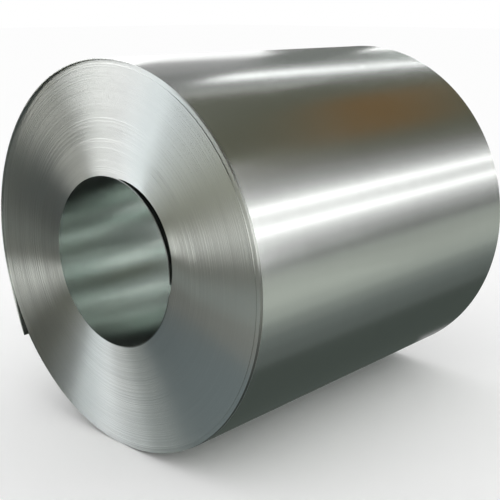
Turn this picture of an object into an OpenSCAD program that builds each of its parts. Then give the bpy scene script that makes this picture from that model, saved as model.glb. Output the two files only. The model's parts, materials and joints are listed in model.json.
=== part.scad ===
// Steel coil: one strip wound lap on lap, lying on its round side.
// The axis of the coil runs along Y and the end with the open tail faces -Y.
// Sizes are in millimetres. Angles are in degrees, counter-clockwise from +X,
// as seen by someone who faces that end.

/* [Strip] */
// Thickness of the strip
strip_t = 3; // [1:0.5:6]
// Width of the strip, which is the length of the coil
strip_w = 1219; // [300:1:2000]

/* [Winding] */
// Diameter of the eye, as the mandrel leaves it
eye_d = 508; // [400:1:762]
// Number of laps between the eye and the outside
laps = 110; // [40:1:160]

/* [Ends of the laps] */
// Laps around the eye that have slid out, each one more than the next
eye_laps = 36; // [4:1:39]
// How far the innermost lap stands out at the front end
eye_push = 8; // [2:0.5:20]
// Laps on the outside that have slid back together
rim_laps = 5; // [2:1:12]
// How far those laps stand back at the front end
rim_pull = 2.5; // [1:0.5:10]
// Slow sideways wander of the laps, each way
wander = 0.8; // [0.1:0.1:4]
// Sideways scatter of single laps, each way
scatter = 0.45; // [0.1:0.05:2]

/* [Last lap and its tail] */
// Angle of the cut end of the tail
tail_tip = 215.5; // [205:0.5:230]
// Angle at which the tail leaves the coil
tail_from = 194; // [185:0.5:200]
// How much larger the bend radius of the free tail is than that of the coil
tail_open = 450; // [50:10:1500]
// Slant of the tail, out of square with the laps under it
tail_slant = 2; // [0:0.1:4]
// Sideways lean of the last lap at its farthest
lean = 9; // [1:0.5:20]
// Angle at which that lean stands out the most
lean_at = 150; // [130:1:170]
// Step at the place where the last lap starts
lap_step = 0.3; // [0.1:0.05:0.5]

/* [Loose inner end] */
// Widest gap behind the innermost lap
eye_gap = 19; // [6:0.5:30]
// Angle of the middle of that gap
gap_mid = 35; // [0:1:60]
// Angle from the middle of that gap to each of its ends
gap_half = 45; // [40:1:70]
// Slit at the free end of the innermost lap
eye_slit = 4; // [2:0.5:8]
// Angle from the lower end of that gap to the slit
slit_in = 6; // [5:1:20]

/* [Hidden] */
$fn = 240;
eye_r = eye_d / 2;
coil_r = eye_r + laps * strip_t;
body_r = coil_r - strip_t;

// The outside is a spiral of two half turns about two centres, one to each
// side of the axis by a quarter of what the spiral gains in a turn.
half_step = (strip_t - lap_step) / 4;
first_r = coil_r - 3 * half_step;
second_r = coil_r - half_step;
// Height of the axis over the floor that the first half turn stands on
axis_h = first_r + half_step * sin(tail_tip);

// The tail is an arc that leaves the second half turn at a tangent.
tail_arc = tail_tip - tail_from;
tail_r = second_r + tail_open;
// Both edges of the last lap lie in planes that lean, and the free part of
// the tail turns out of those planes about one ray.
slant_from = tail_from + tail_arc / 4;
lean_base = lean * cos(tail_tip - lean_at);
lean_slope = lean / coil_r * [cos(lean_at), sin(lean_at)];
tail_slope = lean_slope + tan(tail_slant) * [-sin(slant_from), cos(slant_from)];

// The gap behind the innermost lap lies between two circles.
gap_e = eye_gap / (1 - cos(gap_half));
gap_r = eye_r + strip_t + eye_gap - gap_e;
lap_end = gap_mid - gap_half + slit_in;

// Sideways place of each lap: a slow wander, a scatter and the slide at eye and rim
stray = rands(-1, 1, laps, 11);
function lap_z(i) =
    wander * sin(i * 17) + scatter * stray[i]
    + eye_push * max(0, 1 - i / eye_laps)
    - (i >= laps - rim_laps ? rim_pull : 0);
// The two laps under the last one end level, as one step.
last = laps - 3;
function lap_r(i) = i > last ? body_r : eye_r + i * strip_t;

// Stairs of lap edges, out along the front end and back along the other end
front_stairs = [for (i = [0:last], k = [0, 1]) [lap_r(i + k), strip_w / 2 + lap_z(i)]];
back_stairs = [for (i = [last:-1:0], k = [1, 0]) [lap_r(i + k), lap_z(i) - strip_w / 2]];

// Stands the winding, which is built about Z, on its round side.
module lying() {
    translate([0, 0, axis_h]) rotate([90, 0, 0]) children();
}

// Half space on the counter-clockwise side of the ray at this angle
module half_turn(from) {
    far = 4 * coil_r;
    rotate(from) translate([-far / 2, 0, -2 * strip_w]) cube([far, far / 2, 4 * strip_w]);
}

// Wound strip of this outside radius about a centre off the axis
module lap_tube(r, off, angle) {
    rotate(angle) translate([off, 0, -strip_w]) difference() {
        cylinder(h = 2 * strip_w, r = r);
        translate([0, 0, -strip_t]) cylinder(h = 2 * (strip_w + strip_t), r = r - strip_t);
    }
}

// Slab of the strip's width that leans by this slope along X and Y
module strip_slab(slope) {
    far = 4 * coil_r;
    tilt = atan(norm(slope));
    translate([0, 0, -lean_base]) rotate(atan2(slope.y, slope.x)) rotate([0, -tilt, 0])
        cube([far, far, strip_w * cos(tilt)], center = true);
}

// All laps but the last one
module wound_body() {
    rotate_extrude() polygon(concat(front_stairs, back_stairs));
}

// The last lap, from under the tail round to where the tail leaves
module last_lap() {
    intersection() {
        strip_slab(lean_slope);
        union() {
            intersection() {
                lap_tube(first_r, -half_step, tail_tip);
                half_turn(tail_tip);
            }
            intersection() {
                lap_tube(second_r, half_step, tail_tip);
                half_turn(tail_tip - 180);
                half_turn(tail_from - 180);
            }
        }
    }
}

// A stretch of the tail between two angles
module tail(from, to, slope) {
    intersection() {
        strip_slab(slope);
        rotate(tail_tip) translate([half_step, 0, 0]) rotate(tail_from - tail_tip)
            lap_tube(tail_r, -tail_open, 0);
        half_turn(from);
        half_turn(to - 180);
    }
}

// Crescent behind the innermost lap, with the slit at its free end
module eye_hollow() {
    difference() {
        rotate(gap_mid) translate([gap_e, 0, -strip_w]) cylinder(h = 2 * strip_w, r = gap_r);
        translate([0, 0, -strip_w - strip_t])
            cylinder(h = 2 * (strip_w + strip_t), r = eye_r + strip_t);
    }
    rotate(lap_end) translate([eye_r - strip_t, -eye_slit / 2, -strip_w])
        cube([2.5 * strip_t, eye_slit, 2 * strip_w]);
}

module coil() {
    color([0.68, 0.70, 0.69]) lying() {
        union() {
            difference() {
                wound_body();
                eye_hollow();
            }
            union() {
                last_lap();
                tail(tail_from, slant_from, lean_slope);
                tail(slant_from, tail_tip, tail_slope);
            }
        }
    }
}

coil();
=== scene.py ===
# %% [markdown]
# # Steel coil
# This file shows how a coil of steel strip can be made for a picture. The coil
# lies on its round side, and its eye runs along Y. The steps are the frame,
# the finish of the steel, the wound laps, the last lap with its tail, the
# loose inner lap, then the stage and the camera.
#
# The first step loads the measured model and its record. The record of the eye
# gives three sizes: its radius, the height of its axis over the floor and its
# length, which is the width of the strip.

# %% Frame
import functools
import json
import math
import bpy
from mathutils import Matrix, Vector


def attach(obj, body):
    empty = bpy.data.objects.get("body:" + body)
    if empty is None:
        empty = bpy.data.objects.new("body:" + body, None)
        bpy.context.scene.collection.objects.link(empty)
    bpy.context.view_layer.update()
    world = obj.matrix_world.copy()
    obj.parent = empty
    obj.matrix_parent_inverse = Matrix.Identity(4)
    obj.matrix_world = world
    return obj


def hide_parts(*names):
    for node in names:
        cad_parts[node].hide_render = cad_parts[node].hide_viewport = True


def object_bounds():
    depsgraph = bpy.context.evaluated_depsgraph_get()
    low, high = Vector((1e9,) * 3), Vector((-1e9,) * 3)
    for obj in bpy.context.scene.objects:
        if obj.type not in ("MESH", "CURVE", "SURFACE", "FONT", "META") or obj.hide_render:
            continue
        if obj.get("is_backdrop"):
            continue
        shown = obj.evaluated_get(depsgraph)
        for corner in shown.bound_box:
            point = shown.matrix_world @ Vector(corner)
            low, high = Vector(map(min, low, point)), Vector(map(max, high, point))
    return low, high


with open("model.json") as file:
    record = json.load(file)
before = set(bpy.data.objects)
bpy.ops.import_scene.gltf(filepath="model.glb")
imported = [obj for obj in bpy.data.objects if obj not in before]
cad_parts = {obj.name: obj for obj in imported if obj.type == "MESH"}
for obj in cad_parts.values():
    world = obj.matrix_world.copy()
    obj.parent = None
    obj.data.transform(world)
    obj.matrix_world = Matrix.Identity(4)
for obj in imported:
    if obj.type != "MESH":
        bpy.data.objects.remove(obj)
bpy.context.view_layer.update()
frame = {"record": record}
scene = bpy.context.scene

MM_PER_METRE = 1000
eye = next(mount for mount in frame["record"]["mounts"] if mount["name"] == "eye")
AXIS_HEIGHT = eye["pos_m"][2]
EYE_RADIUS = eye["dims"]["r_mm"] / MM_PER_METRE
STRIP_WIDTH = eye["dims"]["length_mm"] / MM_PER_METRE
print("eye radius", EYE_RADIUS, "height of the axis", AXIS_HEIGHT, "strip width", STRIP_WIDTH)

# %% [markdown]
# Every shape and finish here follows a formula. Node trees work formulas out
# with one small node for each sign, which is hard to read. So a helper class
# turns the usual signs into those nodes, and the formulas below can be written
# as they would be on paper.

# %% Formulas in node trees
def feed(tree, socket, value):
    """Links a socket to a worked-out number, or sets it to a plain one."""
    if isinstance(value, Number):
        tree.links.new(value.socket, socket)
    elif isinstance(value, bpy.types.NodeSocket):
        tree.links.new(value, socket)
    elif value is not None:
        socket.default_value = value


def add_node(tree, kind, *values, **options):
    """Adds a node, sets its options, then feeds its inputs in their order."""
    made = tree.nodes.new(kind)
    for name, option in options.items():
        setattr(made, name, option)
    for socket, value in zip(made.inputs, values):
        feed(tree, socket, value)
    return made


class Number:
    """A number that a node tree works out."""

    def __init__(self, tree, socket):
        self.tree = tree
        self.socket = socket

    def step(self, operation, *others):
        """The result of one more node, with this number as its first input."""
        made = add_node(self.tree, "ShaderNodeMath", self, *others, operation=operation)
        return Number(self.tree, made.outputs[0])

    def __add__(self, other):
        return self.step("ADD", other)

    def __sub__(self, other):
        return self.step("SUBTRACT", other)

    def __mul__(self, other):
        return self.step("MULTIPLY", other)

    def __truediv__(self, other):
        return self.step("DIVIDE", other)

    def __neg__(self):
        return self.step("MULTIPLY", -1.0)

    def less(self, other):
        """1 where this number is below the other one, and 0 elsewhere."""
        return self.step("LESS_THAN", other)

    def more(self, other):
        """1 where this number is above the other one, and 0 elsewhere."""
        return self.step("GREATER_THAN", other)

    def at_least(self, other):
        return self.step("MAXIMUM", other)

    def at_most(self, other):
        return self.step("MINIMUM", other)

    def floor(self):
        return self.step("FLOOR")

    def rest(self, other):
        """What is left after whole steps of the other number."""
        return self.step("FLOORED_MODULO", other)

    def sine(self):
        return self.step("SINE")

    def cosine(self):
        return self.step("COSINE")

    def root(self):
        return self.step("SQRT")


def pick(mask, chosen, other):
    """The chosen number where the mask is 1, and the other number where it is 0."""
    return mask * (chosen - other) + other


print("helpers ready")

# %% [markdown]
# The steel has two finishes. The wide faces of the strip come bright from the
# rolls, with fine lines along the strip. The edges were slit, so the ends of
# the coil look brushed in circles. Both need to know where a point lies in the
# winding. A shared node group works that out from the object's own
# coordinates: the lap, counted from the eye, the direction from the axis and
# the way along the axis.

# %% Where a point lies in the winding
STRIP_THICKNESS = 0.003

winding = bpy.data.node_groups.new("place in the winding", "ShaderNodeTree")
for label in ("Lap", "Across", "Up", "Along"):
    winding.interface.new_socket(label, in_out="OUTPUT", socket_type="NodeSocketFloat")
spot = add_node(winding, "ShaderNodeTexCoord").outputs["Object"]
axes = add_node(winding, "ShaderNodeSeparateXYZ", spot)
from_axis_x = Number(winding, axes.outputs["X"])
from_axis_z = Number(winding, axes.outputs["Z"]) - AXIS_HEIGHT
radius = (from_axis_x * from_axis_x + from_axis_z * from_axis_z).root()
add_node(
    winding, "NodeGroupOutput",
    (radius - EYE_RADIUS) / STRIP_THICKNESS,
    from_axis_x / radius,
    from_axis_z / radius,
    axes.outputs["Y"],
)
print("shared node group:", winding.name)


def place_in_winding(tree):
    """Lap, direction (two numbers) and way along the axis, for a material."""
    group = add_node(tree, "ShaderNodeGroup", node_tree=winding)
    return [Number(tree, socket) for socket in group.outputs]


def streaks(tree, lane, across, up, crosswise, lengthwise, detail):
    """Noise from 0 to 1, drawn out round the axis, with a scale each way."""
    point = add_node(
        tree, "ShaderNodeCombineXYZ", lane * crosswise, across * lengthwise, up * lengthwise,
    )
    noise = add_node(tree, "ShaderNodeTexNoise", point.outputs[0])
    noise.inputs["Scale"].default_value = 1.0
    noise.inputs["Detail"].default_value = detail
    return Number(tree, noise.outputs[0])

# %% [markdown]
# Both finishes are bare metal that mirrors its surroundings. Fine lines along
# the strip spread a reflection across the lines and hardly along them. The
# lines could be cut as a bump, but they are finer than a pixel. So the shader's
# anisotropic setting stands for them: the tangent runs along the strip, and a
# quarter turn sets the wide side of the reflection across it.

# %% Bare steel
MAP_NAME = "OFBake"
QUARTER_TURN = 0.25


def steel(name, anisotropy):
    """A material of bare metal with its tangent along the strip."""
    material = bpy.data.materials.new(name)
    material.use_nodes = True
    tree = material.node_tree
    shader = tree.nodes["Principled BSDF"]
    shader.inputs["Metallic"].default_value = 1.0
    shader.inputs["Anisotropic"].default_value = anisotropy
    shader.inputs["Anisotropic Rotation"].default_value = QUARTER_TURN
    tangent = add_node(tree, "ShaderNodeTangent", direction_type="UV_MAP", uv_map=MAP_NAME)
    tree.links.new(tangent.outputs[0], shader.inputs["Tangent"])
    return material, tree, shader


def blend(tree, amount, first, second):
    """A colour between two others, each a plain colour or a socket."""
    mix = add_node(tree, "ShaderNodeMix", data_type="RGBA")
    feed(tree, mix.inputs["Factor"], amount)
    places = [socket for socket in mix.inputs if socket.type == "RGBA"]
    for place, colour in zip(places, (first, second)):
        feed(tree, place, colour)
    return [socket for socket in mix.outputs if socket.type == "RGBA"][0]


def fade_in(number, start, full):
    """0 up to the start, 1 from the full value on, and a slope between them."""
    return ((number - start) / (full - start)).at_least(0.0).at_most(1.0)


def near_lap(lap, number, below, above):
    """1 from this far below the start of a lap to this far above it."""
    return lap.more(number - below) * lap.less(number + above)


print("steel helpers ready")

# %% [markdown]
# The slit edges make up both ends of the coil. Their tone and roughness vary
# along the laps, so that no ring is a single flat grey. Painted shade darkens
# them in a few places: the step down to the outer laps on the right, the corner
# under the last lap, the lowest part of the last lap and the edge of the loose
# inner lap on the right. It stands for the shade in those steps and corners and
# for the shadow low down. These could be painted by hand, but each lies on a
# known lap, so masks of lap and direction place them.

# %% Slit edges
LAPS = 110
# The last lap is a piece of its own, so this many laps lie under it.
LAST_LAP = LAPS - 1
# Laps on the outside that have slid back, the last one among them
RIM_LAPS = 5
# How far past its own radius a lap still counts, in laps
LAP_ROOM = 0.02
CUT_DARK = (0.555, 0.56, 0.55, 1.0)
CUT_LIGHT = (0.645, 0.65, 0.64, 1.0)
CUT_ROUGHNESS = 0.365
# Near black of the painted shade on the slit edges
PAINTED_SHADE = (0.01, 0.011, 0.01, 1.0)

edge_steel, tree, shader = steel("slit edges", anisotropy=1.0)
lap, across, up = place_in_winding(tree)[:3]
broad = streaks(tree, lap, across, up, crosswise=0.24, lengthwise=0.9, detail=2.0)
fine = streaks(tree, lap, across, up, crosswise=1.3, lengthwise=2.2, detail=3.0)
cut = blend(tree, broad * 0.5 + fine * 0.5, CUT_DARK, CUT_LIGHT)

# Where the painted shade lies: a step, the corner under the last lap, low down and on the right
on_the_right = fade_in(across, 0.8, 1.0)
low_down = fade_in(up, 0.0, -5 / 7)
lowest = fade_in(up, -0.6, -1.0)
rim_step = near_lap(lap, LAPS - RIM_LAPS, below=0.1, above=0.1) * on_the_right
corner_under_last_lap = near_lap(lap, LAST_LAP, below=0.07, above=LAP_ROOM)
under_last_lap = corner_under_last_lap * (low_down * 0.65 + on_the_right * 0.35)
foot_of_last_lap = lap.more(LAST_LAP + LAP_ROOM) * lowest
loose_edge = lap.less(1 + LAP_ROOM) * fade_in(across, 0.0, 1 / 3)
painted_shade = rim_step * 0.3 + under_last_lap + foot_of_last_lap + loose_edge * 0.6

# The painted shade darkens the tone of the cut towards near black.
tree.links.new(blend(tree, painted_shade, cut, PAINTED_SHADE), shader.inputs["Base Color"])
feed(tree, shader.inputs["Roughness"], broad * 0.04 + fine * 0.03 + CUT_ROUGHNESS)
print("finish:", edge_steel.name)

# %% [markdown]
# The rolled faces are the round side, the tail and the wall of the eye. They
# are smoother than the slit edges and mirror more sharply. Faint lines run
# along the strip, and soft clouds lie over them. The wall of the eye mirrors
# itself many times over, which darkens it, so its steel is written lighter and
# a little greener.

# %% Rolled faces
ROLLED_DARK = (0.58, 0.59, 0.575, 1.0)
ROLLED_LIGHT = (0.775, 0.82, 0.795, 1.0)
ROLLED_ROUGHNESS = 0.155
EYE_WALL_LAPS = 1.5

face_steel, tree, shader = steel("rolled faces", anisotropy=0.2)
lap, across, up, along = place_in_winding(tree)
lines = streaks(tree, along, across, up, crosswise=160.0, lengthwise=1.6, detail=3.0)
clouds = streaks(tree, along, across, up, crosswise=3.0, lengthwise=4.0, detail=3.0)
eye_wall = lap.less(EYE_WALL_LAPS)
shade = lines * 0.15 + clouds * 0.22 + eye_wall * 0.6
rolled = blend(tree, shade, ROLLED_DARK, ROLLED_LIGHT)
tree.links.new(rolled, shader.inputs["Base Color"])
rough = lines * 0.04 + clouds * 0.04 - eye_wall * 0.01 + ROLLED_ROUGHNESS
feed(tree, shader.inputs["Roughness"], rough)
print("finish:", face_steel.name)

# %% [markdown]
# Each shape is made by a geometry tree. The tree starts from a flat grid and
# moves every grid point to its place in the coil, so the shape is a formula of
# the point's row and column. A grid that is rolled up closes into a solid when
# the points that meet are merged. The shapes could be written as lists of
# points, but a tree keeps its sizes as named inputs, which stay easy to change.
#
# Rows, columns and laps are whole numbers, so the formulas compare them with
# halves, which no small rounding error can cross.

# %% Named inputs and a flat grid
def new_shape(name, sizes):
    """A geometry tree with one named input for each size."""
    tree = bpy.data.node_groups.new(name, "GeometryNodeTree")
    tree.interface.new_socket("Shape", in_out="OUTPUT", socket_type="NodeSocketGeometry")
    for label, size in sizes.items():
        kind = "NodeSocketInt" if isinstance(size, int) else "NodeSocketFloat"
        tree.interface.new_socket(label, in_out="INPUT", socket_type=kind)
    source = add_node(tree, "NodeGroupInput")
    return tree, {s.name: Number(tree, s) for s in source.outputs if s.name in sizes}


def at_points(number):
    """The number at the grid's points, for faces and corners to take from there."""
    made = add_node(
        number.tree, "GeometryNodeFieldOnDomain", number, data_type="FLOAT", domain="POINT",
    )
    return Number(number.tree, made.outputs[0])


def flat_grid(tree, columns, rows):
    """A grid, and the column and row of each of its points."""
    grid = add_node(tree, "GeometryNodeMeshGrid", 1.0, 1.0, columns, rows)
    index = Number(tree, add_node(tree, "GeometryNodeInputIndex").outputs[0])
    column = ((index + 0.5) / rows).floor()
    row = index - column * rows
    return grid.outputs["Mesh"], at_points(column), at_points(row)


print("grid helpers ready")

# %% [markdown]
# Rolling up is the same for every shape: store the map, mark the wide faces,
# move the points, merge those that meet, turn the faces outwards, keep sharp
# bends crisp and give each face its finish. The map runs along the strip,
# because the finish takes its tangent from there.

# %% Rolling up the grid
MERGE_DISTANCE = 0.00002
# Edges that bend by less than this angle, in radians, are shaded smooth.
SMOOTH_BEND = 0.5


def roll_up(tree, mesh, radius, angle, along, map_u, map_v, wide_face):
    """Moves the grid to its place, marks the wide faces and closes the solid."""
    x = radius * angle.cosine()
    z = radius * angle.sine() + AXIS_HEIGHT
    place = add_node(tree, "ShaderNodeCombineXYZ", x, along, z).outputs[0]
    unrolled = add_node(tree, "ShaderNodeCombineXYZ", map_u, map_v, 0.0).outputs[0]
    mapped = add_node(
        tree, "GeometryNodeStoreNamedAttribute", mesh, None, MAP_NAME, unrolled,
        data_type="FLOAT2", domain="CORNER",
    )
    marked = add_node(
        tree, "GeometryNodeStoreNamedAttribute", mapped.outputs[0], None, "wide_face", wide_face,
        data_type="FLOAT", domain="FACE",
    )
    moved = add_node(tree, "GeometryNodeSetPosition", marked.outputs[0], None, place)
    closed = add_node(tree, "GeometryNodeMergeByDistance", moved.outputs[0])
    closed.inputs["Distance"].default_value = MERGE_DISTANCE
    outward = add_node(tree, "GeometryNodeFlipFaces", closed.outputs[0])
    smooth = add_node(tree, "GeometryNodeSetShadeSmooth", outward.outputs[0], domain="FACE")
    bend = Number(tree, add_node(tree, "GeometryNodeInputMeshEdgeAngle").outputs[0])
    crisp = add_node(
        tree, "GeometryNodeSetShadeSmooth", smooth.outputs[0], None, bend.less(SMOOTH_BEND),
        domain="EDGE",
    )
    whole = add_node(tree, "GeometryNodeRealizeInstances", crisp.outputs[0])
    edges = add_node(tree, "GeometryNodeSetMaterial", whole.outputs[0])
    edges.inputs["Material"].default_value = edge_steel
    mark = add_node(tree, "GeometryNodeInputNamedAttribute", "wide_face", data_type="FLOAT")
    faces = add_node(
        tree, "GeometryNodeSetMaterial", edges.outputs[0],
        Number(tree, mark.outputs[0]).more(0.5),
    )
    faces.inputs["Material"].default_value = face_steel
    add_node(tree, "NodeGroupOutput", faces.outputs[0])


print("rolling up ready")

# %% [markdown]
# A shape becomes a piece when its tree has been worked out with real sizes. The
# piece then keeps the plain mesh and no modifier. It rides on the body of the
# coil and takes the place of the measured model.

# %% From a shape to a piece
def make_piece(name, tree, sizes):
    """Makes a plain mesh of the tree's shape, as a piece of the coil."""
    piece = bpy.data.objects.new(name, bpy.data.meshes.new(name))
    scene.collection.objects.link(piece)
    shape = piece.modifiers.new("shape", "NODES")
    shape.node_group = tree
    for item in tree.interface.items_tree:
        if item.in_out == "INPUT":
            shape[item.identifier] = sizes[item.name]
    bpy.context.view_layer.update()
    finished = piece.evaluated_get(bpy.context.evaluated_depsgraph_get())
    mesh = bpy.data.meshes.new_from_object(finished)
    piece.modifiers.remove(shape)
    piece.data = mesh
    mesh.name = name
    # An empty slot may come before those of the two finishes.
    while mesh.materials[0] is None:
        mesh.materials.pop(index=0)
    triangles = sum(len(face.vertices) - 2 for face in mesh.polygons)
    print(name, "has", triangles, "triangles")
    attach(piece, "root")
    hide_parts("coil")


print("pieces can be made")

# %% [markdown]
# The wound laps are the body of the coil, and their edges show as rings on
# both ends. One long strip could be swept along a spiral, but most of its
# faces would lie hidden between the laps. So one solid stands for them. A
# column of the grid follows the outline of a cut through the coil: out over
# the front edges, lap by lap, back over the rear edges and home through the
# eye. On each end a lap gives three points, two for its flat edge and one at
# the bottom of the fine groove beside it.
#
# The laps are not level. They wander and scatter sideways a little, the laps
# at the eye have slid out, each one more than the next, and those at the rim
# have slid back. Slitting also leaves the outer side of each edge a little
# lower than its inner side. Behind the loose inner lap the laps bulge outwards,
# which leaves a crescent.

# %% Sizes of the wound laps
# The crescent behind the loose inner lap: its middle, half its angle and its depth
GAP_MIDDLE = math.radians(35)
GAP_HALF = math.radians(45)
EYE_GAP = 0.019
# How far the innermost lap stands out at the front end
EYE_PUSH = 0.008

body_sizes = {
    "Laps": LAST_LAP,
    "Columns": 128,
    "Groove half width": 0.00015,
    "Groove depth": 0.00025,
    "Edge fall": 0.0002,
    "Eye laps": 36,
    "Eye push": EYE_PUSH,
    "Rim laps": RIM_LAPS - 1,
    "Rim pull": 0.0025,
    "Wander": 0.0003,
    "Scatter": 0.0003,
    "Seed": 11.0,
    "Gap scale": EYE_GAP / (1 - math.cos(GAP_HALF)),
    "Laps in the bulge": 28,
}
body_tree, size = new_shape("wound laps", body_sizes)
print("wound laps:", len(body_sizes), "named sizes")

# %% Outline of the wound laps
POINTS_PER_LAP = 3
# Angle from one lap to the next in the slow wave of their sideways wander
WANDER_TURN = math.radians(17)

points = size["Laps"] * (2 * POINTS_PER_LAP)
mesh, column, row = flat_grid(body_tree, size["Columns"] + 1, points + 1)
angle = column / size["Columns"] * math.tau

# The rows run over the front edges first, then over the rear edges.
outline_row = row.rest(points)
front = outline_row.less(points / 2)
step = outline_row - (-front + 1) * (points / 2)
count = ((step + 0.5) / POINTS_PER_LAP).floor()
corner = step - count * POINTS_PER_LAP
lap = pick(front, count, size["Laps"] - 1 - count)
groove = corner.more(1.5)
outer = pick(front, corner.more(0.5), corner.less(0.5))

# Sideways place of each lap, towards the front
hash_node = add_node(body_tree, "ShaderNodeTexWhiteNoise", noise_dimensions="1D")
feed(body_tree, hash_node.inputs["W"], lap + size["Seed"])
stray = Number(body_tree, hash_node.outputs["Value"]) * 2 - 1
slide = (lap * WANDER_TURN).sine() * size["Wander"] + stray * size["Scatter"]
slide = slide + (-(lap / size["Eye laps"]) + 1).at_least(0.0) * size["Eye push"]
slide = slide - lap.more(size["Laps"] - size["Rim laps"] - 0.5) * size["Rim pull"]
# The rear outline ends at the eye, so its last groove stays flat.
grooved = groove * (front + lap.more(0.5)).at_most(1.0)
sink = grooved * size["Groove depth"] + outer * size["Edge fall"]
front_end = -(slide - sink + STRIP_WIDTH / 2)
rear_end = -(slide + sink - STRIP_WIDTH / 2)
along = pick(front, front_end, rear_end)

# Radius of each point, with the crescent behind the loose inner lap
ring = lap + outer
level = (angle - GAP_MIDDLE).cosine() - math.cos(GAP_HALF)
gap = (level * size["Gap scale"]).at_least(0.0)
fade = (-(ring - 1) / size["Laps in the bulge"] + 1).at_least(0.0)
bulge = pick(ring.more(0.5), gap * fade, (gap + STRIP_THICKNESS) * gap.more(0.0))
inset = pick(outer, -size["Groove half width"], size["Groove half width"] * lap.more(0.5))
radius = ring * STRIP_THICKNESS + EYE_RADIUS + bulge + inset * (-groove + 1)
print("outline of the wound laps:", len(body_tree.nodes), "nodes")

# %% Wound laps
# Shares of the map's height: a margin, both ends together and the wall of the eye
MAP_MARGIN = 0.01
MAP_ENDS = 0.64
MAP_EYE = 0.34

# The last row of faces is the wall of the eye.
last_row = row.more(points - 0.5)
map_u = column / size["Columns"]
map_v = row.at_most(points - 1) / points * MAP_ENDS + last_row * MAP_EYE + MAP_MARGIN
roll_up(body_tree, mesh, radius, angle, along, map_u, map_v, row.more(points - 0.9))
make_piece("wound_laps", body_tree, body_sizes)

# %% [markdown]
# The last lap and the loose inner lap are both a stretch of strip that runs
# round the axis. They could be curves with a profile, but a formula can also
# make the strip grow, lean and spring open, so one tree makes both. A column
# of its grid follows the outline of the strip's section, which has small
# bevelled corners, and the first and last columns shrink to a point to close
# the cut ends. On the last lap the radius grows along the way, the strip
# leans sideways, and its free tail springs open on a larger bend and slants
# out of square.

# %% Sizes of the last lap
# Step at the place where the last lap starts
LAP_STEP = 0.0003
GROWTH = STRIP_THICKNESS - LAP_STEP
BODY_RADIUS = EYE_RADIUS + LAST_LAP * STRIP_THICKNESS
# Angles at which the tail ends, at which it leaves the coil and at which the lap leans most
TAIL_TIP = math.radians(215.5)
TAIL_FROM = math.radians(194)
LEAN_AT = math.radians(150)

strip_sizes = {
    "Columns": 240,
    "From": TAIL_TIP - math.tau,
    "To": TAIL_TIP,
    "Start radius": BODY_RADIUS - GROWTH,
    "Growth": GROWTH,
    "Corner": 0.0004,
    "Place": 0.0,
    "Lean": 0.009,
    "Lean at": LEAN_AT,
    "Lean base": math.cos(TAIL_TIP - LEAN_AT),
    "Tail from": TAIL_FROM,
    "Tail opening": 0.45,
    "Slant from": TAIL_FROM + (TAIL_TIP - TAIL_FROM) / 4,
    "Slant": math.tan(math.radians(2)),
}
strip_tree, size = new_shape("stretch of strip", strip_sizes)
print("stretch of strip:", len(strip_sizes), "named sizes")

# %% Way of the strip round the axis
SECTION_POINTS = 8

mesh, column, row = flat_grid(strip_tree, size["Columns"] + 3, SECTION_POINTS + 1)
part = ((column - 1) / size["Columns"]).at_least(0.0).at_most(1.0)
angle = size["From"] + (size["To"] - size["From"]) * part
shut = column.less(0.5) + column.more(size["Columns"] + 1.5)

# Inner radius: steady growth, then the larger bend of the tail
wound = size["Start radius"] + size["Growth"] * part
free = (angle - size["Tail from"]).at_least(0.0)
bend = wound + size["Tail opening"]
aside = size["Tail opening"] * free.sine()
inner = (bend * bend - aside * aside).root() - size["Tail opening"] * free.cosine()

# Sideways place: the lean of the lap and the slant of the tail
lean = ((angle - size["Lean at"]).cosine() - size["Lean base"]) * size["Lean"]
slant = (angle - size["Slant from"]).at_least(0.0).sine() * inner * size["Slant"]
middle = -(size["Place"] + lean + slant)
print("way of the strip:", len(strip_tree.nodes), "nodes")

# %% Last lap with its tail
# Shares of the map's height: each row, and what the wide faces get beyond that
MAP_ROW = 0.02
MAP_OUTER_FACE = 0.5
MAP_INNER_FACE = 0.28

# Outline of the section: eight points, four on each edge of the strip
turn = row.rest(SECTION_POINTS)
rear = turn.more(3.5)
spot = pick(rear, -turn + (SECTION_POINTS - 1), turn)
bevel = size["Corner"]
height = spot.more(0.5) * bevel + spot.more(2.5) * bevel
height = height + spot.more(1.5) * (-bevel * 2 + STRIP_THICKNESS)
half = -((spot.less(0.5) + spot.more(2.5)) * bevel) + STRIP_WIDTH / 2
side = pick(rear, half, -half)
radius = inner + pick(shut, shut * (STRIP_THICKNESS / 2), height)
along = middle + side * (-shut + 1)

# The outer face lies between rows 3 and 4, and the inner face between rows 7 and 8.
map_v = row * MAP_ROW + row.more(3.5) * MAP_OUTER_FACE + row.more(7.5) * MAP_INNER_FACE + MAP_ROW
wide = row.more(3.2) * row.less(3.8) + row.more(7.2)
roll_up(strip_tree, mesh, radius, angle, along, part, map_v, wide)
make_piece("last_lap_with_tail", strip_tree, strip_sizes)

# %% [markdown]
# The loose inner lap is the strip's other end, which has come away from the
# laps around it. It is a shorter stretch that keeps the radius of the eye. It
# starts at its free end, low on the right of the eye, and runs into the body
# where the crescent closes.

# %% Loose inner lap
# Angles of its free end and of its root in the body
LOOSE_END = math.radians(-3.5)
LOOSE_ROOT = math.radians(84)
# This much inside the eye's radius, so that the lap covers the wall at its root
LOOSE_INSET = 0.0001
# Past every angle of this lap, so that no tail opens on it
NO_TAIL = math.radians(400)

inner_sizes = dict(strip_sizes)
inner_sizes.update({
    "Columns": 64,
    "From": LOOSE_END,
    "To": LOOSE_ROOT,
    "Start radius": EYE_RADIUS - LOOSE_INSET,
    "Growth": 0.0,
    "Place": EYE_PUSH,
    "Lean": 0.0,
    "Tail from": NO_TAIL,
    "Slant from": NO_TAIL,
})
make_piece("loose_inner_lap", strip_tree, inner_sizes)

# %% [markdown]
# The stage is a plain pale floor under a plain white sky. Steel shows little
# but its surroundings, so cards stand around the coil, as they would in a
# studio for shiny things: an arch over the coil, a dome in front of it and a
# mat on the floor. Only reflections see the cards. They light neither the
# floor nor the picture's background.

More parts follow.
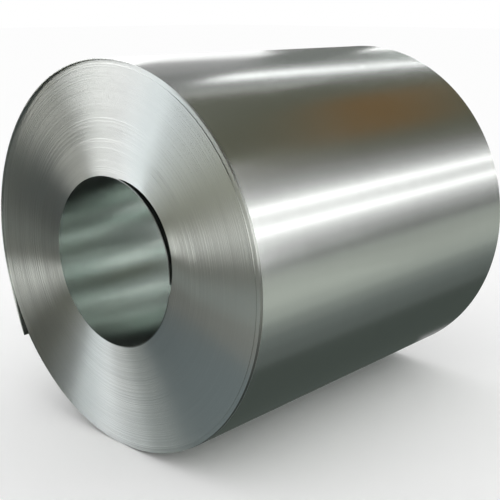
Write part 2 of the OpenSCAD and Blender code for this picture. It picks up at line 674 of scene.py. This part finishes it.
# %% Floor and sky
FLOOR_REACH = 60
FLOOR_WHITE = (0.98, 0.98, 0.98, 1.0)
SKY_WHITE = (1.0, 1.0, 1.0, 1.0)

floor_mesh = bpy.data.meshes.new("floor")
floor_signs = ((-1, -1), (1, -1), (1, 1), (-1, 1))
floor_corners = [(x * FLOOR_REACH, y * FLOOR_REACH, 0.0) for x, y in floor_signs]
floor_mesh.from_pydata(floor_corners, [], [(0, 1, 2, 3)])
floor = bpy.data.objects.new("floor", floor_mesh)
scene.collection.objects.link(floor)
floor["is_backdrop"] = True
floor_paint = bpy.data.materials.new("pale floor")
floor_paint.use_nodes = True
floor_shader = floor_paint.node_tree.nodes["Principled BSDF"]
floor_shader.inputs["Base Color"].default_value = FLOOR_WHITE
floor_shader.inputs["Roughness"].default_value = 0.9
floor_shader.inputs["Specular IOR Level"].default_value = 0.0
floor_mesh.materials.append(floor_paint)

sky = bpy.data.worlds.new("white sky")
scene.world = sky
sky.use_nodes = True
sky.node_tree.nodes["Background"].inputs["Color"].default_value = SKY_WHITE
sky.node_tree.nodes["Background"].inputs["Strength"].default_value = 1.0
print("floor and sky ready")

# %% [markdown]
# A card is cut into patches that follow a curved surface. A card with two
# colours fades from one to the other. A card in a list hangs in front of those
# before it.

# %% Cutting a card into patches
def glow(level, red=1.0, green=1.0, blue=1.0):
    """A brightness with a tint."""
    return (level * red, level * green, level * blue)


def between(start, end, share):
    """The number at this share of the way from one number to another."""
    return start + (end - start) * share


def faded(first, last, share):
    """The colour at this share of the way from one colour to another."""
    return tuple(between(a, b, share) for a, b in zip(first, last))


def shares(span, width):
    """Even cuts of about this width, as pairs of shares, or one cut without a width."""
    steps = max(1, round(span / width)) if width else 1
    return [(step / steps, (step + 1) / steps) for step in range(steps)]


def cut_card(place, one_way, other_way, first, last, one_width=None, other_width=None):
    """Patches between two ranges of numbers that the function place turns into points."""
    patches = []
    for a, b in shares(one_way[1] - one_way[0], one_width):
        for c, d in shares(other_way[1] - other_way[0], other_width):
            ends = ((a, c), (b, c), (b, d), (a, d))
            corners = [place(between(*one_way, u), between(*other_way, v)) for u, v in ends]
            patches.append((corners, faded(first, last, a), faded(first, last, b)))
    return patches


print("cards can be cut")

# %% [markdown]
# Each card could be a lamp of its own, but a lamp also lights the floor. So one
# mesh holds the patches of many cards, and only glossy rays see it. Each corner
# keeps its brightness in a colour attribute, which the material shows as a
# glow.

# %% Hanging the cards
def hang(name, patches):
    """Makes one stage piece of four-cornered patches, each with its brightness."""
    spots = []
    faces = []
    shine = []
    for corners, first, last in patches:
        faces.append(tuple(range(len(spots), len(spots) + 4)))
        spots += corners
        shine += [*first, 1.0, *last, 1.0, *last, 1.0, *first, 1.0]
    mesh = bpy.data.meshes.new(name)
    mesh.from_pydata(spots, [], faces)
    colours = mesh.color_attributes.new("shine", "FLOAT_COLOR", "CORNER")
    colours.data.foreach_set("color", shine)
    material = bpy.data.materials.new(name)
    material.use_nodes = True
    tree = material.node_tree
    tree.nodes.clear()
    level = add_node(tree, "ShaderNodeAttribute", attribute_name="shine")
    lamp = add_node(tree, "ShaderNodeEmission", level.outputs["Color"])
    add_node(tree, "ShaderNodeOutputMaterial", lamp.outputs[0])
    mesh.materials.append(material)
    made = bpy.data.objects.new(name, mesh)
    scene.collection.objects.link(made)
    made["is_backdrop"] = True
    made.visible_camera = False
    made.visible_diffuse = False
    made.visible_shadow = False
    made.visible_transmission = False
    made.visible_volume_scatter = False
    print(name, "has", len(faces), "patches")


print("cards can be hung")

# %% [markdown]
# Over and behind the coil the cards hang on a wide arch around the coil's own
# axis. Each one runs from one angle to another and from one place along the
# axis to another. An angle of 0 is level on the right and 90 is straight up.
# The round side mirrors this arch, and the wall of the eye mirrors what lies
# behind its far end. An arch was chosen because a line along the round side
# mirrors, nearly, one line along the arch.

# %% Cards on the arch
ARCH_RADIUS = 9.0
ARCH_REACH = 60.0
# Cards that overlap hang this far apart.
CARD_GAP = 0.01
ARCH_PATCH = 3
HORIZON = -30
OTHER_HORIZON = 210
LAMP_JOINT = 12
BEAM_START = 10.1
BEAM_END = 13.8
LONG_LAMP_START = 7.9
EYE_START = 4
EYE_VIEW = 6.5
NEAR_START = 0.7
OLIVE = (0.125, 0.13, 0.095)
BROWN = (0.22, 0.125, 0.045)
ROOF_EDGE = glow(0.17, 1.0, 0.98, 0.85)

# Two angles, two places along the axis, and the brightness at each angle
arch_cards = {
    "dark roof": (HORIZON, OTHER_HORIZON, -ARCH_REACH, ARCH_REACH, OLIVE, OLIVE),
    "wall on the right": (HORIZON, 2, 0, 11, glow(0.35, 0.98, 1.05, 0.95), glow(0.42)),
    "far wall on the right": (HORIZON, 2, 11, ARCH_REACH, glow(0.27), glow(0.34)),
    "light under the lamps": (2, 14, 0, ARCH_REACH, glow(0.42), glow(1.1)),
    "light between the lamps": (14, 28, 0, LAMP_JOINT, glow(1.0), glow(1.0)),
    "far light between the lamps": (14, 28, LAMP_JOINT, ARCH_REACH, glow(0.85), glow(0.85)),
    "light over the lamps": (28, 38, 0, ARCH_REACH, glow(1.1), glow(0.42)),
    "edge of the roof": (38, 48, 0, ARCH_REACH, glow(0.42), ROOF_EDGE),
    "dark edge of the roof": (48, 58, 0, ARCH_REACH, ROOF_EDGE, OLIVE),
    "upper lamp": (25.7, 28.2, 0, LAMP_JOINT, glow(3.7), glow(3.7)),
    "far part of the upper lamp": (25.7, 28.2, LAMP_JOINT, ARCH_REACH, glow(3.2), glow(3.2)),
    "lower lamp": (13.7, 16.2, 0, LAMP_JOINT, glow(3.7), glow(3.7)),
    "far part of the lower lamp": (13.7, 16.2, LAMP_JOINT, ARCH_REACH, glow(3.2), glow(3.2)),
    "brown beam": (54, 66, BEAM_START, BEAM_END, OLIVE, BROWN),
    "brown roof": (66, 88, BEAM_START, BEAM_END, BROWN, BROWN),
    "far edge of the brown roof": (88, 98, BEAM_START, BEAM_END, BROWN, OLIVE),
    "thin lamp": (107, 108.6, 0, 10.3, glow(1.3), glow(1.3)),
    "far part of the thin lamp": (107, 108.6, 10.3, ARCH_REACH, glow(0.35), glow(0.35)),
    "grey roof": (110, 129, 0, ARCH_REACH, glow(0.2, 1.0, 1.05, 1.0), glow(0.27)),
    "light before the long lamp": (116, 121, LONG_LAMP_START, ARCH_REACH, glow(0.15), glow(0.5)),
    "light after the long lamp": (121, 129, LONG_LAMP_START, ARCH_REACH, glow(0.6), glow(0.28)),
    "long lamp": (
        119.8, 123.0, LONG_LAMP_START, ARCH_REACH, glow(4.5), glow(4.5, 1.0, 1.02, 1.04),
    ),
    "grey wall": (129, 150, 0, 9.2, glow(0.38), glow(0.45)),
    "dark wall": (129, OTHER_HORIZON, 9.2, 12.6, glow(0.2, 1.0, 1.08, 1.0), glow(0.2)),
    "far wall": (129, OTHER_HORIZON, 12.6, ARCH_REACH, glow(0.4, 1.0, 1.12, 1.04), glow(0.4)),
    "window on the left": (150, OTHER_HORIZON, 0, 9.6, glow(1.35), glow(1.35)),
    "far window": (151, 158, 12.4, ARCH_REACH, glow(3.0), glow(3.0)),
    "near wall": (-5, 40, NEAR_START, EYE_START, glow(1.1), glow(1.1)),
    "near roof": (40, 115, NEAR_START, EYE_START, glow(1.0), glow(1.0)),
    "near wall on the left": (115, 150, NEAR_START, EYE_START, glow(0.65), glow(0.65)),
    "wall through the eye": (-5, 25, EYE_START, EYE_VIEW, glow(2.8), glow(2.8)),
    "dark post through the eye": (25, 55, EYE_START, 6, glow(0.2), glow(0.2)),
    "lamp through the eye": (25, 55, 6, EYE_VIEW, glow(3.3), glow(3.3)),
    "roof through the eye": (75, 115, EYE_START, 6, glow(0.38), glow(0.38)),
    "window through the eye": (145, 160, EYE_START, EYE_VIEW, glow(2.4), glow(2.4)),
}


def on_arch(radius, degrees, way):
    """The point at this angle of the arch and this place along the axis."""
    turn = math.radians(degrees)
    return (radius * math.cos(turn), way, radius * math.sin(turn) + AXIS_HEIGHT)


arch_patches = []
for order, (start, end, near, far, first, last) in enumerate(arch_cards.values()):
    place = functools.partial(on_arch, ARCH_RADIUS - CARD_GAP * order)
    arch_patches += cut_card(place, (start, end), (near, far), first, last, ARCH_PATCH)
hang("arch_of_cards", arch_patches)

# %% [markdown]
# In front of the coil the cards hang on a dome around the middle of the front
# end. Each one runs from one bearing to another and from one height angle to
# another. A bearing of 0 is straight ahead of the front end, and it grows
# towards the left of someone who stands before that end and faces it. The slit
# edges spread what they mirror into narrow fans, so these cards decide which
# part of the end is bright.

# %% Cards on the dome
DOME_RADIUS = 8.5
DOME_PATCH = 5
FRONT = -STRIP_WIDTH / 2
RIGHT_WINDOW_TINT = (0.96, 1.0, 0.93)
LAMP_TINT = (0.98, 1.0, 0.96)

# Two bearings, two height angles and the brightness
dome_cards = {
    "dark hall": (-110, 110, -12, 90, glow(0.02, 1.0, 1.0, 0.85)),
    "roof ahead": (-30, 20, 20, 60, glow(0.15, 1.0, 0.95, 0.65)),
    "door": (30.6, 45.3, -12, 20, glow(3.8, 0.92, 1.0, 1.05)),
    "window over the door": (39.8, 54.7, 22.4, 53.5, glow(3.4)),
    "light in the roof": (20.7, 59.7, 44.7, 74.8, glow(2.9, 0.94, 1.0, 1.0)),
    "window left of the door": (52, 62, 2.5, 52.3, glow(3.1, 0.95, 1.0, 0.95)),
    "window on the far left": (48, 100, 15.9, 52.4, glow(3.6)),
    "wall on the far left": (62, 83.5, -1, 10.4, glow(2.4, 1.0, 1.0, 0.92)),
    "window on the right": (-102, -51, 2, 16, glow(3.8, *RIGHT_WINDOW_TINT)),
    "higher window on the right": (-102, -51, 16, 30, glow(2.5, *RIGHT_WINDOW_TINT)),
    "top window on the right": (-102, -51, 30, 40, glow(1.3, *RIGHT_WINDOW_TINT)),
    "lamps ahead": (-56.2, -15.3, 2.2, 8, glow(2.6, *LAMP_TINT)),
    "higher lamps ahead": (-56.2, -15.3, 8, 15.1, glow(3.7, *LAMP_TINT)),
}


def on_dome(radius, bearing, height):
    """The point of the dome at this bearing and height angle."""
    turn = math.radians(bearing)
    rise = math.radians(height)
    flat = radius * math.cos(rise)
    x = -flat * math.sin(turn)
    return (x, FRONT - flat * math.cos(turn), AXIS_HEIGHT + radius * math.sin(rise))


dome_patches = []
for order, (start, end, low, high, colour) in enumerate(dome_cards.values()):
    place = functools.partial(on_dome, DOME_RADIUS - CARD_GAP * order)
    dome_patches += cut_card(
        place, (start, end), (low, high), colour, colour, DOME_PATCH, DOME_PATCH,
    )
hang("dome_of_cards", dome_patches)

# %% [markdown]
# The mat lies on the floor and is seen in the same way. Beside the coil it is
# dark near the coil, brighter farther right and dark again far out. Close to the
# coil it is a dark floor with painted shade, the coil's shadow as the steel
# mirrors it. Behind the coil it has light and dark patches for the wall of the
# eye. In front it is cut into slices around the foot of the front end, by
# bearing and distance.

# %% Mat on the floor
MAT_EDGE = 12.0
MAT_LEVEL = 0.0005
# Mat cards that overlap lie this far apart.
MAT_GAP = 0.0001
SLICE_PATCH = 5
TEAL = (0.88, 1.08, 1.0)
PALE_GREEN = (0.98, 1.05, 0.95)
GREY_GREEN = (0.98, 1.03, 0.97)
WARM = (1.0, 0.98, 0.75)

# Left, right, front and rear edge of each card, and the brightness
mat_cards = [
    (-MAT_EDGE, MAT_EDGE, FRONT, ARCH_REACH, glow(0.08, 0.93, 1.12, 1.0)),
    # From here to 1.50 the mat brightens away from the coil: painted shade of the coil's shadow,
    # as mirrored.
    (0.70, 0.85, FRONT, ARCH_REACH, glow(0.145, 0.93, 1.06, 1.0)),
    (0.85, 1.00, FRONT, ARCH_REACH, glow(0.18, 0.93, 1.06, 1.0)),
    (1.00, 1.20, FRONT, ARCH_REACH, glow(0.27, 0.95, 1.05, 0.98)),
    (1.20, 1.50, FRONT, ARCH_REACH, glow(0.46, 0.97, 1.05, 0.96)),
    (1.50, 2.20, FRONT, ARCH_REACH, glow(0.58, *PALE_GREEN)),
    (2.20, 3.80, FRONT, ARCH_REACH, glow(0.52, *PALE_GREEN)),
    (1.50, 2.20, 1.6, ARCH_REACH, glow(0.49, *PALE_GREEN)),
    (2.20, 3.80, 2.4, ARCH_REACH, glow(0.43, *PALE_GREEN)),
    (3.80, 4.80, FRONT, ARCH_REACH, glow(0.38, *GREY_GREEN)),
    (4.80, MAT_EDGE, FRONT, ARCH_REACH, glow(0.14, *GREY_GREEN)),
    (-6.0, -3.0, 0.7, 3.0, glow(0.5, *TEAL)),
    (-3.0, -2.0, 0.7, 2.3, glow(2.0, *TEAL)),
    (-2.0, -1.2, 0.7, 1.7, glow(4.5, *TEAL)),
    (-1.2, -0.5, 0.7, 1.2, glow(1.3)),
    (-0.5, 0.3, 0.7, 1.2, glow(0.35)),
    (-1.2, 0.3, 2.3, 3.8, glow(2.3, *TEAL)),
    (-3.0, 0.3, 3.8, 6.0, glow(1.9, *TEAL)),
]

# Two bearings and two distances of each slice, and the brightness
mat_slices = [
    (-90, 90, 0.0, ARCH_REACH, glow(0.1, *WARM)),
    (-12.6, -7.0, 0.2, ARCH_REACH, (2.7, 2.8, 2.5)),
    (27.7, 49.5, 2.8, ARCH_REACH, (3.5, 3.6, 2.7)),
    (-7.5, 53, 0.3, 4.5, glow(0.005)),
    (-90, -49.6, 0.2, ARCH_REACH, glow(0.4, *WARM)),
    (46.7, 90, 0.5, ARCH_REACH, glow(0.005)),
    (-47.7, -17.9, 0.7, 3.0, (0.6, 0.75, 0.78)),
    (-84.7, 62, 0.0, 1.0, (0.23, 0.28, 0.29)),
    (-90, 30, 0.8, 1.3, (0.35, 0.36, 0.33)),
]


def on_mat(level, x, y):
    """The point of the mat at this place."""
    return (x, y, level)


def on_slice(level, bearing, distance):
    """The point of the mat at this bearing and distance from the front end."""
    turn = math.radians(bearing)
    return (-distance * math.sin(turn), FRONT - distance * math.cos(turn), level)


mat_patches = []
for order, (left, right, near, far, colour) in enumerate(mat_cards):
    place = functools.partial(on_mat, MAT_LEVEL + MAT_GAP * order)
    mat_patches += cut_card(place, (left, right), (near, far), colour, colour)
for order, (start, end, near, far, colour) in enumerate(mat_slices):
    place = functools.partial(on_slice, MAT_LEVEL + MAT_GAP * order)
    mat_patches += cut_card(place, (start, end), (near, far), colour, colour, SLICE_PATCH)
hang("mat_of_cards", mat_patches)

# %% [markdown]
# The camera stands to the right of the front end and above the eye. Its lens
# is a little longer than a normal one, so that the near rim does not loom.

# %% Camera
CAMERA_TURN = math.radians(43.03)
CAMERA_RISE = math.radians(14.90)
CAMERA_PLACE = (2.0224, -2.1888, 1.2921)
SENSOR_WIDTH_MM = 36.0
FOCAL_LENGTH_MM = 64.86
FARTHEST_SEEN = 200.0

lens = bpy.data.cameras.new("camera")
lens.sensor_width = SENSOR_WIDTH_MM
lens.lens = FOCAL_LENGTH_MM
lens.clip_end = FARTHEST_SEEN
camera = bpy.data.objects.new("camera", lens)
camera.location = CAMERA_PLACE
camera.rotation_euler = (math.pi / 2 - CAMERA_RISE, 0.0, CAMERA_TURN)
scene.collection.objects.link(camera)
scene.camera = camera
scene.view_settings.view_transform = "Standard"
print("camera at", CAMERA_PLACE)

# %% [markdown]
# The box of the finished pieces is printed.

# %% Sizes and finish
low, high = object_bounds()
print("visual box", [round(v, 4) for v in low], [round(v, 4) for v in high])
